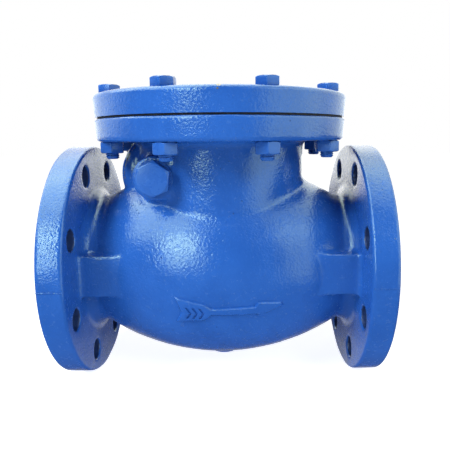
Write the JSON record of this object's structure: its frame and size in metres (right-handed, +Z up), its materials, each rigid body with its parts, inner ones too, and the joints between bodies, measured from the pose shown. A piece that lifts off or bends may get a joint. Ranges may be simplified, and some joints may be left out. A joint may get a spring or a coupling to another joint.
{
  "type": "swing check valve",
  "caption": "Flanged swing check valve: cast body with a round bolted cover and a hinged disc that swings open with the flow and drops shut on its seat.",
  "frame": {"origin": "centre of the inlet raised face, on the line axis", "axes": "+X along the line with the flow, +Z up through the bolted cover, +Y towards the rear"},
  "size_m": [0.292, 0.234, 0.2731],
  "materials": {
    "painted_iron": "glossy enamel on a sand-cast surface",
    "painted_steel": "glossy enamel on hexagon steel",
    "bronze": "turned",
    "steel": "turned stainless",
    "bare_iron": "as cast",
    "gasket": "dark jointing sheet"
  },
  "bodies": {
    "valve_body": {"body_casting": "painted_iron", "seat_ring": "bronze", "cover": "painted_iron", "cover_gasket": "gasket", "cover_bolts": "painted_steel", "cover_nuts": "painted_steel", "hinge_pin": "steel", "hinge_bush_front": "bronze", "hinge_bush_rear": "bronze", "hinge_plug_front": "painted_steel", "hinge_plug_rear": "painted_steel", "plug_ring_front": "painted_steel", "plug_ring_rear": "painted_steel"},
    "flap_arm": {"hinge_arm": "bare_iron"},
    "flap_disc": {"disc": "bare_iron", "disc_facing": "bronze", "disc_washer": "steel", "disc_nut": "steel", "disc_split_pin": "steel"}
  },
  "joints": [
    {"name": "flap_swing", "type": "hinge", "parent": "valve_body", "child": "flap_arm", "pos_m": [0.092, 0, 0.084], "axis": [0, -1, 0], "range_deg": [0, 60]},
    {"name": "disc_turn", "type": "hinge", "parent": "flap_arm", "child": "flap_disc", "pos_m": [0.11, 0, 0], "axis": [1, 0, 0], "continuous": true}
  ]
}
